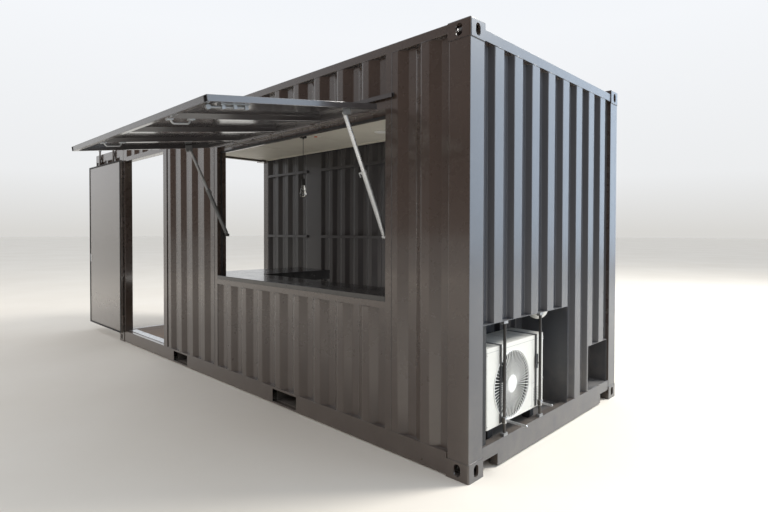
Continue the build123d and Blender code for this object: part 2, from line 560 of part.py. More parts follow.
for tag, s in (("right", 1), ("left", -1)):
    xc = STAY_X[tag]
    rod = cyl((xc, 0, -16 - (ROD_L - 16) / 2), 15.0, ROD_L - 16)
    eye = cyl((xc, 0, 0), 15.0, 12.0, "X") + bx(xc - 6, xc + 6, -10, 10, -22, 0)
    rod = rod + eye - cyl((xc, 0, 0), 6.1, 20.0, "X")
    nodes["stay_rod_" + tag] = along_stay(rod)
    z1 = -(stay_len - TUBE_L)
    z2 = -(stay_len - 22.0)
    tb = cyl((xc, 0, (z1 + z2) / 2), 19.0, z1 - z2)
    tb = tb + cyl((xc, 0, z1 - 10), 22.0, 20.0)
    tb = tb - cyl((xc, 0, (z1 + z2 + 4) / 2 + 1), 16.0, z1 - z2 - 2)
    tb = tb + cyl((xc, 0, -stay_len), 16.0, 36.0, "X") + bx(xc - 9, xc + 9, -12, 12, -stay_len, z2 + 3)
    tb = tb - cyl((xc, 0, -stay_len), 9.5, 60.0, "X")
    # catch lever on the collar, towards the middle of the hatch
    xa, xb = sorted((xc - s * 20, xc - s * 48))
    xd, xe = sorted((xc - s * 42, xc - s * 48))
    tb = tb + bx(xa, xb, -6, 6, z1 - 16, z1 - 8) + bx(xd, xe, -6, 6, z1 - 44, z1 - 8)
    nodes["stay_tube_" + tag] = along_stay(tb)

# stay lugs on the flap and on the jambs
for tag, s, xf, xj in (("right", 1, FX1 - 40, HATCH_X1), ("left", -1, FX0 + 40, HATCH_X0)):
    xc = STAY_X[tag]
    a0, a1 = sorted((xf - s * 6, xf))
    plate = bx(a0, a1, FO + 10, U_CL[0] + 12, U_CL[1] - 34, U_CL[1] + 34)
    p0, p1 = sorted((xf - s * 1, xc - s * 12))
    plate = plate + cyl(((p0 + p1) / 2, U_CL[0], U_CL[1]), 6.0, p1 - p0, "X")
    plate = plate + cyl((xc - s * 10, U_CL[0], U_CL[1]), 10.0, 4.0, "X")
    flap_lugs.append(lift(plate))
    b0, b1 = sorted((xj + s * 1, xj - s * 6))
    j = bx(b0, b1, P_LOW[0] - 22, P_LOW[0] + 22, P_LOW[1] - 45, P_LOW[1] + 45)
    c0, c1 = sorted((xj - s * 1, xc + s * 25))
    j = j + cyl(((c0 + c1) / 2, P_LOW[0], P_LOW[1]), 9.0, c1 - c0, "X")
    hatch_frame = hatch_frame + j
nodes["flap_lugs"] = group(flap_lugs)
nodes["hatch_frame"] = hatch_frame

# ---------------------------------------------------------------- shop door
SX, SY = SHOP_AXIS
LX0, LX1 = SX + 13.0, -1472.0          # closed leaf along the wall
LZ0, LZ1 = 125.0, 2575.0
LIN, LOUT = -1224.0, -1254.0           # inner and outer face, closed
SH = Axis((SX, SY, 0), (0, 0, 1))


def swing(shape):
    """Closed shop door to its open rest position, half a turn."""
    return shape.rotate(SH, -180.0)


leaf = bx(LX0, LX1, LOUT, LIN, LZ0, LZ1)
hollow = bx(LX0 + 100, LX1 - 100, LOUT + 2, LIN - 2, LZ0 + 100, LZ1 - 100)
hollow = hollow - bx(LX0, LX1, LOUT, LIN, 820.0, 870.0) - bx(LX0, LX1, LOUT, LIN, 1820.0, 1870.0)
leaf = leaf - hollow
for z in (310.0, 860.0, 1510.0, 2170.0):
    leaf = leaf + bx(LX1 - 1, LX1 + 14, LOUT + 8, LIN - 6, z - 70, z + 70)
nodes["shop_door_leaf"] = swing(leaf)
rods = []
for x in (-1706.0, -2101.0):
    y = LOUT - 12.0
    b = cyl((x, y, (130.0 + 2640.0) / 2), 10.0, 2640.0 - 130.0)
    for z in (200.0, 760.0, 1700.0, 2500.0):
        b = b + bx(x - 34, x + 34, LOUT - 18, LOUT, z - 25, z + 25)
    z = 1150.0
    b = b + bx(x, x + 320 if x < -1900 else x + 90, LOUT - 24, LOUT - 19, z - 16, z + 16)
    b = b + bx(x - 20, x + 20, LOUT - 24, LOUT - 2, z - 22, z + 22)
    rods.append(b)
nodes["shop_door_rods"] = swing(group(rods))
latch = bx(LX1 - 75, LX1 - 35, LIN, LIN + 4, 1090.0, 1210.0)
latch = latch + cyl((LX1 - 55, LIN + 3, 1170.0), 8.0, 8.0, "Y")
nodes["shop_door_latch"] = swing(latch & bx(LX1 - 100, LX1, LIN, LIN + 4.5, 1000, 1300))

fixed, moving = [], []
for z in (310.0, 1000.0, 1700.0, 2390.0):
    f, m = hinge_rings((SX, SY, z), "Z", 10.0, 6.0, 45.0)
    for s in (-1, 1):
        f = f + bx(SX - 6, SX + 8, SY, -WALL_Y, z + s * 46.5 - 22.5, z + s * 46.5 + 22.5)
    fixed.append(f)
    m = m + bx(SX, SX + 13, LOUT - 5, SY + 2, z - 22.5, z + 22.5) + bx(SX, SX + 150, LOUT - 5, LOUT, z - 22.5, z + 22.5)
    m = m - cyl((SX, SY, z), 6.1, 60.0)
    moving.append(swing(m))
nodes["shop_door_straps"] = group(moving)
hinge_lugs = list(fixed)

# ---------------------------------------------------------------- cargo doors
CX, CY = CARGO_AXIS


def cargo_leaf(sy):
    """Closed leaf: box frame with a corrugated panel. sy -1 is the near one."""
    # local: u from the hinge axis towards the middle, v outer face offset from the axis
    def b(u0, u1, v0, v1, z0, z1):
        ya, yb = sorted((sy * (CY - u0), sy * (CY - u1)))
        return bx(CX + v0, CX + v1, ya, yb, z0, z1)
    u0, u1 = 44.0, 1202.0
    z0, z1 = LEAF_BOTTOM, LEAF_TOP
    v0, v1 = 48.0, 98.0
    ring = b(u0, u1, v0, v1, z0, z1) - b(u0 + 80, u1 - 80, v0 - 1, v1 + 1, z0 + 120, z1 - 120)
    ring = ring - b(u0 + 4, u0 + 76, v0 + 4, v1 - 4, z0 + 4, z1 - 4) - b(u1 - 76, u1 - 4, v0 + 4, v1 - 4, z0 + 4, z1 - 4)
    ring = ring - b(u0 + 3, u1 - 3, v0 + 4, v1 - 4, z0 + 4, z0 + 116) - b(u0 + 3, u1 - 3, v0 + 4, v1 - 4, z1 - 116, z1 - 4)
    pts = wave(u0 + 80, u1 - 80, 332.0, 110.0, 40.0, 10.0, 36.0)
    o = [(CX + v0 + 4 + d, sy * (CY - u)) for u, d in pts]
    i = [(CX + v0 + 6 + d, sy * (CY - u)) for u, d in reversed(pts)]
    face = make_face(Polyline(*[(p, q, 0) for p, q in o + i], close=True))
    panel = Pos(0, 0, z0 + 120) * extrude(face, z1 - z0 - 240, dir=(0, 0, 1))
    rods = []
    for u, reach in ((360.0, 300.0), (960.0, -300.0)):
        y = sy * (CY - u)
        r = cyl((CX + v0 - 17, y, (100.0 + 2840.0) / 2), 13.5, 2840.0 - 100.0)
        for z in (240.0, 900.0, 1250.0, 2050.0, 2715.0):
            r = r + b(u - 34, u + 34, v0 - 22, v0, z - 25, z + 25)
        for z in (112.0, 2828.0):
            r = r + b(u - 22, u + 22, v0 - 31, v0 - 3.5, z - 9, z + 9)
        r = r + b(*sorted((u, u + reach)), v0 - 34, v0 - 27, 1134.0, 1166.0)
        r = r + b(u - 20, u + 20, v0 - 34, v0 - 3, 1128.0, 1172.0)
        rods.append(r)
    blades, lugs_f = [], []
    for z in HINGE_Z_CARGO:
        f, m = hinge_rings((CX, sy * CY, z), "Z", 11.0, 7.0, 26.0)
        for s in (-1, 1):
            f = f + bx(CX, CX + 21, *sorted((sy * (CY - 6), sy * (CY + 6))), z + s * 27.5 - 13, z + s * 27.5 + 13)
        lugs_f.append(f)
        m = m + b(6, 54, -5, 5, z - 13, z + 13) + b(44, 54, -5, v0, z - 13, z + 13)
        m = m + b(44, 160, v0 - 8, v0, z - 13, z + 13)
        m = m - cyl((CX, sy * CY, z), 7.1, 60.0)
        blades.append(m)
    return ring + panel, group(rods), group(blades), lugs_f


near = Axis((CX, -CY, 0), (0, 0, 1))
far = Axis((CX, CY, 0), (0, 0, 1))
rn = cargo_leaf(-1)
rf = cargo_leaf(1)
for i, nm in enumerate(("leaf", "rods", "blades")):
    nodes["cargo_near_" + nm] = rn[i].rotate(near, 90.0)
    nodes["cargo_far_" + nm] = rf[i].rotate(far, -270.0)
nodes["door_hinge_lugs"] = group(hinge_lugs + rn[3] + rf[3])

# the sheets and frames stop at the faces of the castings
for name in ("back_wall", "front_wall", "shop_door_frame", "end_wall_upper", "end_posts"):
    solids = []
    for piece in nodes[name].solids():
        for sx in (-1, 1):
            for sy in (-1, 1):
                ca = bx(*sorted((sx * (XE - CAST_X), sx * XE)), *sorted((sy * (YE - CAST_Y), sy * YE)), HEIGHT - CAST_Z, HEIGHT)
                if (piece.bounding_box().max.Z > HEIGHT - CAST_Z
                        and (piece & ca) is not None):
                    piece = piece - ca
        solids.append(piece)
    nodes[name] = group(solids)

# ---------------------------------------------------------------- write
if __name__ == "__main__":
    for old in os.listdir("parts"):
        if old.endswith(".step") and old[:-5] not in nodes:
            os.remove(os.path.join("parts", old))
    for name, shape in nodes.items():
        export_step(shape, "parts/" + name + ".step")
    print(len(nodes), "nodes")
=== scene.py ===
import math
import random

import bmesh
import bpy
from mathutils import Matrix, Vector


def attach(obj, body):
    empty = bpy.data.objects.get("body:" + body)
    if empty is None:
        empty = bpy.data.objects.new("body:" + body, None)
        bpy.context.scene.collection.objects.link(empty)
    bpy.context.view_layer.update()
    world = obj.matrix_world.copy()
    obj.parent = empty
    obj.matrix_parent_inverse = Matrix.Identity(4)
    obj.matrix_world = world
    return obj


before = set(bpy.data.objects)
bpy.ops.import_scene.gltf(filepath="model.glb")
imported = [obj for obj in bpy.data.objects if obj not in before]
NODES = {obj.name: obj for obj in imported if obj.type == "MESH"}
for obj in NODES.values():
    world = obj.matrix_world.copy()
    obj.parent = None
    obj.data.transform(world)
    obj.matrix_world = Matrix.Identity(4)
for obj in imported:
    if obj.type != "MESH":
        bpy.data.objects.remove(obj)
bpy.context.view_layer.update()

scene = bpy.context.scene
rng = random.Random(7)

# ------------------------------------------------------------------ camera
YAW, PITCH, ROLL = 0.7706, -0.0161, 0.0023
FWD = Vector((-math.sin(YAW) * math.cos(PITCH), math.cos(YAW) * math.cos(PITCH), math.sin(PITCH)))
RIGHT = FWD.cross(Vector((0, 0, 1))).normalized()
UP = RIGHT.cross(FWD)
C, S = math.cos(ROLL), math.sin(ROLL)
R2, U2 = RIGHT * C + UP * S, UP * C - RIGHT * S
cam_data = bpy.data.cameras.new("camera")
cam = bpy.data.objects.new("camera", cam_data)
scene.collection.objects.link(cam)
cam_data.sensor_width = 36.0
cam_data.lens = 510.146 / 768.0 * 36.0
cam_data.shift_y = -16.13 / 768.0
cam_data.clip_start, cam_data.clip_end = 0.05, 600.0
m = Matrix((
    (R2.x, U2.x, -FWD.x, 4.834),
    (R2.y, U2.y, -FWD.y, -3.8355),
    (R2.z, U2.z, -FWD.z, 1.5719),
    (0, 0, 0, 1),
))
cam.matrix_world = m
scene.camera = cam


# ------------------------------------------------------------------ node helpers
class Tree:
    """Small helper to wire up a procedural material."""

    def __init__(self, name):
        self.mat = bpy.data.materials.new(name)
        self.mat.use_nodes = True
        self.t = self.mat.node_tree
        self.t.nodes.clear()
        self.out = self.t.nodes.new("ShaderNodeOutputMaterial")
        self.b = self.t.nodes.new("ShaderNodeBsdfPrincipled")
        self.t.links.new(self.b.outputs[0], self.out.inputs[0])
        self.co = self.t.nodes.new("ShaderNodeTexCoord").outputs["Object"]

    def n(self, kind, ins=None, **props):
        x = self.t.nodes.new(kind)
        for k, v in props.items():
            setattr(x, k, v)
        for k, v in (ins or {}).items():
            if hasattr(v, "is_output") and v.is_output:
                self.t.links.new(v, x.inputs[k])
            else:
                x.inputs[k].default_value = v
        return x

    def noise(self, scale, detail=3.0, rough=0.5, vec=None, distort=0.0, squash=None):
        src = vec or self.co
        if squash:
            src = self.n("ShaderNodeMapping", {0: src, "Scale": squash}).outputs[0]
        x = self.n("ShaderNodeTexNoise", {"Vector": src, "Scale": scale, "Detail": detail,
                                          "Roughness": rough, "Distortion": distort})
        return x.outputs[0]

    def ramp(self, fac, stops):
        x = self.n("ShaderNodeValToRGB", {0: fac})
        e = x.color_ramp.elements
        while len(e) < len(stops):
            e.new(0.5)
        for k, (p, c) in enumerate(stops):
            e[k].position = p
            e[k].color = c if len(c) == 4 else (*c, 1)
        return x.outputs[0]

    def map(self, v, a, b, c, d):
        x = self.n("ShaderNodeMapRange", {0: v, 1: a, 2: b, 3: c, 4: d}, clamp=True)
        return x.outputs[0]

    def math(self, op, a, b=0.0):
        return self.n("ShaderNodeMath", {0: a, 1: b}, operation=op).outputs[0]

    def mix(self, fac, a, b, mode="MIX"):
        x = self.n("ShaderNodeMix", data_type="RGBA", blend_type=mode)
        for key, v in ((0, fac), (6, a), (7, b)):
            if hasattr(v, "is_output") and v.is_output:
                self.t.links.new(v, x.inputs[key])
            else:
                x.inputs[key].default_value = v if key == 0 else ((*v, 1) if len(v) == 3 else v)
        return x.outputs[2]

    def xyz(self, vec=None):
        return self.n("ShaderNodeSeparateXYZ", {0: vec or self.co}).outputs

    def normal_z(self):
        g = self.n("ShaderNodeNewGeometry")
        return self.n("ShaderNodeSeparateXYZ", {0: g.outputs["Normal"]}).outputs[2]

    def bump(self, height, strength, distance, normal=None):
        x = self.n("ShaderNodeBump", {"Height": height, "Strength": strength, "Distance": distance})
        if normal is not None:
            self.t.links.new(normal, x.inputs["Normal"])
        return x.outputs[0]

    def set(self, **kw):
        for k, v in kw.items():
            name = {"base": "Base Color", "rough": "Roughness", "metal": "Metallic", "normal": "Normal",
                    "spec": "Specular IOR Level", "coat": "Coat Weight", "coat_rough": "Coat Roughness",
                    "trans": "Transmission Weight", "ior": "IOR", "emit": "Emission Color",
                    "emit_power": "Emission Strength", "alpha": "Alpha", "sheen": "Sheen Weight"}[k]
            s = self.b.inputs[name]
            if hasattr(v, "is_output") and v.is_output:
                self.t.links.new(v, s)
            else:
                s.default_value = (*v, 1) if isinstance(v, tuple) and len(v) == 3 else v
        return self.mat


def paint(name, base, rough=0.32, dust=1.0, wave=1.0, dirt_top=0.0, streak=0.5, mottle=1.0, coat=0.6, coat_rough=0.13):
    """Sprayed steel paint: slight tone changes, rain streaks, road dust near the ground, soft waviness."""
    t = Tree(name)
    x, y, z = t.xyz()
    big = t.noise(0.9, 4.0, 0.55)
    col = t.mix(t.map(big, 0.3, 0.7, 0.0, 1.0), tuple(c * (1 - 0.12 * mottle) for c in base), tuple(c * (1 + 0.14 * mottle) for c in base))
    fine = t.noise(34.0, 5.0, 0.7)
    col = t.mix(t.map(fine, 0.40, 0.80, 0.0, 0.16 * mottle), col, tuple(min(1, c * 1.35 + 0.004) for c in base))
    runs = t.noise(1.0, 4.0, 0.6, squash=(16.0, 16.0, 0.55))
    runs = t.map(runs, 0.56, 0.78, 0.0, 0.22 * streak)
    col = t.mix(runs, col, (0.16, 0.14, 0.12))
    dn = t.noise(5.5, 6.0, 0.65)
    low = t.map(z, 0.02, 0.75, 0.42 * dust, 0.0)
    low = t.math("MULTIPLY", low, t.map(dn, 0.3, 0.75, 0.15, 1.0))
    col = t.mix(low, col, (0.30, 0.265, 0.22))
    up = t.map(t.normal_z(), 0.55, 0.98, 0.0, 0.28 + dirt_top)
    up = t.math("MULTIPLY", up, t.map(dn, 0.25, 0.7, 0.35, 1.0))
    col = t.mix(up, col, (0.27, 0.25, 0.225))
    chips = t.noise(120.0, 2.0, 0.5)
    chip = t.math("MULTIPLY", t.map(chips, 0.755, 0.77, 0.0, 1.0), t.map(t.noise(3.0, 2.0), 0.58, 0.72, 0.0, 0.30))
    col = t.mix(chip, col, (0.34, 0.31, 0.28))
    r = t.map(t.noise(7.0, 5.0, 0.6), 0.25, 0.8, rough - 0.07 * mottle, rough + 0.12 * mottle)
    r = t.math("ADD", r, t.math("MULTIPLY", low, 0.6))
    r = t.math("ADD", r, t.math("MULTIPLY", up, 0.7))
    n1 = t.bump(t.noise(2.3, 2.0, 0.45), 0.30 * wave, 0.006)
    n2 = t.bump(t.noise(230.0, 2.0, 0.5), 0.035, 0.0005, n1)
    return t.set(base=col, rough=r, normal=n2, spec=0.5, coat=coat, coat_rough=coat_rough)


def galvanised(name, tone=0.55, rough=0.36):
    t = Tree(name)
    v = t.n("ShaderNodeTexVoronoi", {"Vector": t.co, "Scale": 95.0}, feature="F1")
    sp = t.n("ShaderNodeSeparateColor", {0: v.outputs["Color"]}).outputs[0]
    cloud = t.noise(9.0, 5.0, 0.6)
    col = t.mix(t.map(sp, 0.0, 1.0, 0.0, 0.5), (tone * 0.82, tone * 0.84, tone * 0.86), (tone * 1.12, tone * 1.13, tone * 1.14))
    col = t.mix(t.map(cloud, 0.45, 0.8, 0.0, 0.35), col, (0.32, 0.31, 0.29))
    r = t.map(sp, 0.0, 1.0, rough - 0.07, rough + 0.13)
    r = t.math("ADD", r, t.map(cloud, 0.4, 0.8, 0.0, 0.18))
    return t.set(base=col, rough=r, metal=0.88, normal=t.bump(t.noise(190.0, 3.0, 0.6), 0.22, 0.0006))


def plywood(name):
    """Marine plywood floor: sheets with butt seams, long grain, wear and screws."""
    t = Tree(name)
    x, y, z = t.xyz()
    grain = t.noise(1.0, 8.0, 0.62, squash=(3.0, 70.0, 30.0), distort=0.6)
    blot = t.noise(1.3, 4.0, 0.55)
    col = t.ramp(grain, [(0.2, (0.105, 0.062, 0.034)), (0.5, (0.20, 0.125, 0.072)), (0.8, (0.30, 0.20, 0.125))])
    col = t.mix(t.map(blot, 0.3, 0.75, 0.0, 0.55), col, (0.155, 0.115, 0.085))
    sx = t.math("FRACT", t.math("DIVIDE", t.math("ADD", x, 10.0), 1.22))
    sy = t.math("FRACT", t.math("DIVIDE", t.math("ADD", y, 10.0), 1.16))
    ex = t.math("MINIMUM", sx, t.math("SUBTRACT", 1.0, sx))
    ey = t.math("MINIMUM", sy, t.math("SUBTRACT", 1.0, sy))
    seam = t.math("MAXIMUM", t.map(ex, 0.0, 0.0035, 1.0, 0.0), t.map(ey, 0.0, 0.0035, 1.0, 0.0))
    col = t.mix(seam, col, (0.02, 0.015, 0.012))
    dust = t.map(t.noise(4.0, 6.0, 0.7), 0.45, 0.8, 0.0, 0.35)
    col = t.mix(dust, col, (0.34, 0.30, 0.25))
    scr = t.map(t.noise(1.0, 3.0, 0.5, squash=(6.0, 160.0, 6.0)), 0.68, 0.72, 0.0, 0.3)
    col = t.mix(scr, col, (0.36, 0.27, 0.19))
    h = t.math("SUBTRACT", t.math("MULTIPLY", grain, 0.35), seam)
    return t.set(base=col, rough=t.map(grain, 0.2, 0.8, 0.5, 0.72), normal=t.bump(h, 0.5, 0.0015))


def plain(name, base, rough, bumpy=0.15, scale=160.0, metal=0.0, var=0.12, spec=0.5, coat=0.0, dust=0.15):
    """Moulded or coated surface with a fine texture, tone change and a little dust on top."""
    t = Tree(name)
    a = t.noise(4.0, 5.0, 0.6)
    col = t.mix(t.map(a, 0.3, 0.72, 0.0, 1.0), tuple(c * (1 - var) for c in base), tuple(min(1.0, c * (1 + var)) for c in base))
    f = t.noise(60.0, 4.0, 0.7)
    col = t.mix(t.map(f, 0.5, 0.8, 0.0, 0.18), col, tuple(c * 0.72 for c in base))
    up = t.math("MULTIPLY", t.map(t.normal_z(), 0.6, 0.98, 0.0, dust), t.map(a, 0.3, 0.7, 0.4, 1.0))
    col = t.mix(up, col, (0.36, 0.33, 0.29))
    r = t.map(t.noise(11.0, 4.0, 0.6), 0.3, 0.75, max(0.03, rough - 0.06), min(1.0, rough + 0.1))
    return t.set(base=col, rough=r, metal=metal, spec=spec, coat=coat,
                 normal=t.bump(t.noise(scale, 3.0, 0.55), bumpy, 0.0006))


def strap_cloth(name):
    t = Tree(name)
    w = t.n("ShaderNodeTexWave", {"Vector": t.co, "Scale": 210.0, "Distortion": 0.4}, bands_direction="Z")
    v = t.n("ShaderNodeTexWave", {"Vector": t.co, "Scale": 320.0, "Distortion": 0.3}, bands_direction="Y")
    h = t.math("MULTIPLY", w.outputs["Fac"], v.outputs["Fac"])
    col = t.mix(t.map(h, 0.0, 0.8, 0.0, 1.0), (0.008, 0.008, 0.009), (0.035, 0.035, 0.037))
    col = t.mix(t.map(t.noise(20.0, 4.0), 0.5, 0.8, 0.0, 0.3), col, (0.09, 0.085, 0.08))
    return t.set(base=col, rough=0.8, normal=t.bump(h, 0.6, 0.0008), sheen=0.3)


def clear(name, tint=(0.95, 0.96, 0.94), rough=0.03):
    t = Tree(name)
    f = t.noise(30.0, 4.0, 0.6)
    col = t.mix(t.map(f, 0.45, 0.8, 0.0, 0.3), tint, tuple(c * 0.86 for c in tint))
    return t.set(base=col, rough=t.map(f, 0.3, 0.8, rough, rough + 0.09), trans=0.92, ior=1.45)


M = {
    "paint": paint("container_paint", (0.052, 0.0365, 0.0295), rough=0.27, coat=1.0, coat_rough=0.10, mottle=0.25, wave=0.35, streak=0.15, dust=0.30),
    # the end walls take a bluish copy of the container paint: the blue tint is painted skylight on the sky-lit end, not
    # a different paint
    "end_painted_skylight": paint("end_paint_with_painted_skylight", (0.053, 0.055, 0.064), rough=0.38, coat=0.5, coat_rough=0.24, mottle=0.3, wave=0.5, streak=0.2),
    "paint_roof": paint("roof_paint", (0.040, 0.032, 0.030), rough=0.40, dirt_top=0.25, coat=0.3),
    "under": paint("underframe_paint", (0.020, 0.018, 0.0175), rough=0.55, dust=1.2, streak=0.2, coat=0.0),
    # the recess paint's bluish base is painted skylight, like the end walls' copy; its dust is real
    "recess": paint("recess_paint", (0.052, 0.054, 0.062), rough=0.36, dust=0.9, coat=0.3),
    "inside": paint("inside_paint", (0.040, 0.038, 0.041), rough=0.36, dust=0.2, streak=0.1, mottle=0.5, coat=0.3),
    "leaf": paint("leaf_paint", (0.100, 0.084, 0.073), rough=0.24, dust=0.7, wave=0.4, mottle=0.3, streak=0.25, coat=1.0),
    "flap": paint("flap_paint", (0.050, 0.0455, 0.047), rough=0.22, dust=0.0, wave=0.6, streak=0.12, mottle=0.25, coat=1.0),
    "weld": paint("weld_paint", (0.036, 0.029, 0.027), rough=0.36, dust=0.6, wave=0.2, coat=0.5),
    "galv": galvanised("galvanised", 0.60),
    "steel": galvanised("zinc_steel", 0.72, 0.26),
    # dull zinc is the real finish of the bolts, lugs and guard fittings; on the left stay rod it is painted shade
    "dull_zinc_and_shade": galvanised("dull_zinc_and_painted_shade", 0.34, 0.48),
    # dark zinc is painted shade: the left stay's tube, the same part as the right stay's galvanised tube, darkened for
    # the shade under the flap
    "shaded_zinc": galvanised("zinc_with_painted_shade", 0.17, 0.45),
    "ply": plywood("plywood"),
    "ceiling": plain("ceiling_white", (0.60, 0.575, 0.50), 0.55, 0.05, 40.0, var=0.05, dust=0.0),
    "cream": plain("case_cream", (0.66, 0.655, 0.61), 0.42, 0.10, 420.0, var=0.04, dust=0.25),
    "grille": plain("grille_grey", (0.40, 0.40, 0.385), 0.42, 0.12, 300.0, var=0.06, dust=0.2),
    "darkplastic": plain("fan_plastic", (0.035, 0.036, 0.038), 0.5, 0.12, 260.0),
    "rubber": plain("rubber_black", (0.018, 0.018, 0.019), 0.78, 0.35, 220.0, var=0.3, dust=0.4),
    "strap": strap_cloth("strap_black"),
    "white": plain("white_plastic", (0.80, 0.80, 0.77), 0.32, 0.06, 300.0, var=0.03, dust=0.05),
    "bench": plain("bench_black", (0.013, 0.013, 0.014), 0.20, 0.004, 30.0, var=0.10, dust=0.03, coat=0.5),
    "flex": plain("flex_black", (0.016, 0.016, 0.017), 0.5, 0.1, 200.0),
    "lamp": clear("lamp_clear"),
    "brass": plain("lamp_holder", (0.36, 0.33, 0.27), 0.3, 0.1, 200.0, metal=0.9),
    "fins": galvanised("coil_fins", 0.5, 0.4),
    "grey": plain("inner_grey", (0.155, 0.155, 0.15), 0.55, 0.1, 200.0, var=0.08, dust=0.1),
    "seam": plain("seam_grey", (0.26, 0.26, 0.25), 0.5, 0.05, 200.0, var=0.05, dust=0.0),
    "gasket": plain("gasket_black", (0.014, 0.014, 0.015), 0.62, 0.2, 260.0, var=0.2, dust=0.25),
    "orange": plain("clip_orange", (0.72, 0.16, 0.05), 0.4, 0.08, 200.0),
}

NODE_MAT = {
    "corner_castings": "paint", "end_posts": "paint", "rear_frame": "paint", "bottom_side_rails": "paint",
    "top_side_rails": "paint", "end_rails": "paint", "cross_members": "under", "fork_tunnels": "under",
    "floor": "ply", "roof": "paint_roof", "ceiling": "ceiling", "front_wall": "paint", "hatch_frame": "paint",
    "hatch_flashing": "flap", "shop_door_frame": "paint", "back_wall": "inside", "wall_rails": "inside",
    "end_wall_upper": "end_painted_skylight", "end_wall_lower": "end_painted_skylight", "condenser_recess": "recess", "recess_back": "recess",
    "inlet_recess": "recess", "condenser_case": "cream", "condenser_grille": "grille", "condenser_feet": "rubber",
    "condenser_straps": "strap", "guard_bars": "under", "recess_lamp": "white", "bench_top": "bench",
    "bench_legs": "bench", "pendant_rose": "gasket", "pendant_flex": "flex", "pendant_lamp": "lamp",
    "ceiling_light": "white", "hatch_hinges": "galv", "flap_frame": "flap", "flap_skin": "flap",
    "flap_handles": "galv", "flap_bolts": "dull_zinc_and_shade", "flap_lugs": "galv", "stay_rod_right": "steel",
    # the left stay's rod and tube take darker zinc than the right stay's: painted shade under the flap
    "stay_tube_right": "galv", "stay_rod_left": "dull_zinc_and_shade", "stay_tube_left": "shaded_zinc", "shop_door_leaf": "leaf",
    "shop_door_rods": "paint", "shop_door_latch": "steel", "shop_door_straps": "paint", "cargo_near_leaf": "paint",
    "cargo_near_rods": "paint", "cargo_near_blades": "paint", "cargo_far_leaf": "paint", "cargo_far_rods": "paint",
    "cargo_far_blades": "paint", "door_hinge_lugs": "paint",
}
for name, obj in NODES.items():
    obj.data.materials.clear()
    obj.data.materials.append(M[NODE_MAT[name]])


def soften(name, width, segments=2, angle=32.0):
    """Rounds the hard edges of a node a little, inside its own shape."""
    o = NODES[name]
    w = o.modifiers.new("weld", "WELD")
    w.merge_threshold = 0.00005
    b = o.modifiers.new("edge", "BEVEL")
    b.width, b.segments, b.limit_method, b.angle_limit = width, segments, "ANGLE", math.radians(angle)
    b.use_clamp_overlap = True
    b.harden_normals = False


# ------------------------------------------------------------------ mesh helpers
def finish_mesh(name, bm, mat, body, smooth=None):
    me = bpy.data.meshes.new(name)
    bmesh.ops.recalc_face_normals(bm, faces=bm.faces)
    bm.to_mesh(me)
    bm.free()
    o = bpy.data.objects.new(name, me)
    scene.collection.objects.link(o)
    me.materials.append(M[mat])
    if smooth is not None:
        for p in me.polygons:
            p.use_smooth = True
        me.set_sharp_from_angle(angle=math.radians(smooth))
    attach(o, body)
    return o


def add_box(bm, lo, hi, bevel=0.0, seg=2, mat=None):
    c = [(a + b) / 2 for a, b in zip(lo, hi)]
    d = [abs(b - a) for a, b in zip(lo, hi)]
    r = bmesh.ops.create_cube(bm, size=1.0, matrix=Matrix.Translation(c) @ Matrix.Diagonal((*d, 1)))
    if bevel:
        edges = list({e for v in r["verts"] for e in v.link_edges})
        r = bmesh.ops.bevel(bm, geom=edges, offset=bevel, segments=seg, profile=0.5, affect="EDGES")
    if mat is not None:
        bmesh.ops.transform(bm, matrix=mat, verts=list({v for v in r["verts"]}))
    return r


def add_cyl(bm, p, r, h, axis="Z", seg=20, r2=None, bevel=0.0):
    rot = {"Z": Matrix.Identity(4), "X": Matrix.Rotation(math.pi / 2, 4, "Y"), "Y": Matrix.Rotation(-math.pi / 2, 4, "X")}[axis]
    g = bmesh.ops.create_cone(bm, cap_ends=True, segments=seg, radius1=r, radius2=r if r2 is None else r2, depth=h,
                              matrix=Matrix.Translation(p) @ rot)
    return g


def add_tube(bm, pts, r, seg=12, closed=False):
    """Round bar through points."""
    pts = [Vector(p) for p in pts]
    rings = []
    n = len(pts)
    ref = None
    for i, p in enumerate(pts):
        a = pts[(i - 1) % n] if (closed or i > 0) else pts[i]
        b = pts[(i + 1) % n] if (closed or i < n - 1) else pts[i]
        d = (b - a).normalized()
        if ref is None:
            ref = d.orthogonal().normalized()
        ref = (ref - d * ref.dot(d)).normalized()
        s = d.cross(ref)
        rings.append([bm.verts.new(p + (ref * math.cos(k * math.tau / seg) + s * math.sin(k * math.tau / seg)) * r) for k in range(seg)])
    m2 = n if closed else n - 1
    for i in range(m2):
        A, B = rings[i], rings[(i + 1) % n]
        for k in range(seg):
            bm.faces.new((A[k], A[(k + 1) % seg], B[(k + 1) % seg], B[k]))
    if not closed:
        bm.faces.new(rings[0][::-1])
        bm.faces.new(rings[-1])



# ------------------------------------------------------------------ CAD nodes: extra finishes and softened edges
def by_face(name, picks):
    """Gives some faces of a node another finish; picks is a list of (finish, test on the face centre)."""
    me = NODES[name].data
    for mat, test in picks:
        me.materials.append(M[mat])
        k = len(me.materials) - 1
        for f in me.polygons:
            if test(f.center):
                f.material_index = k


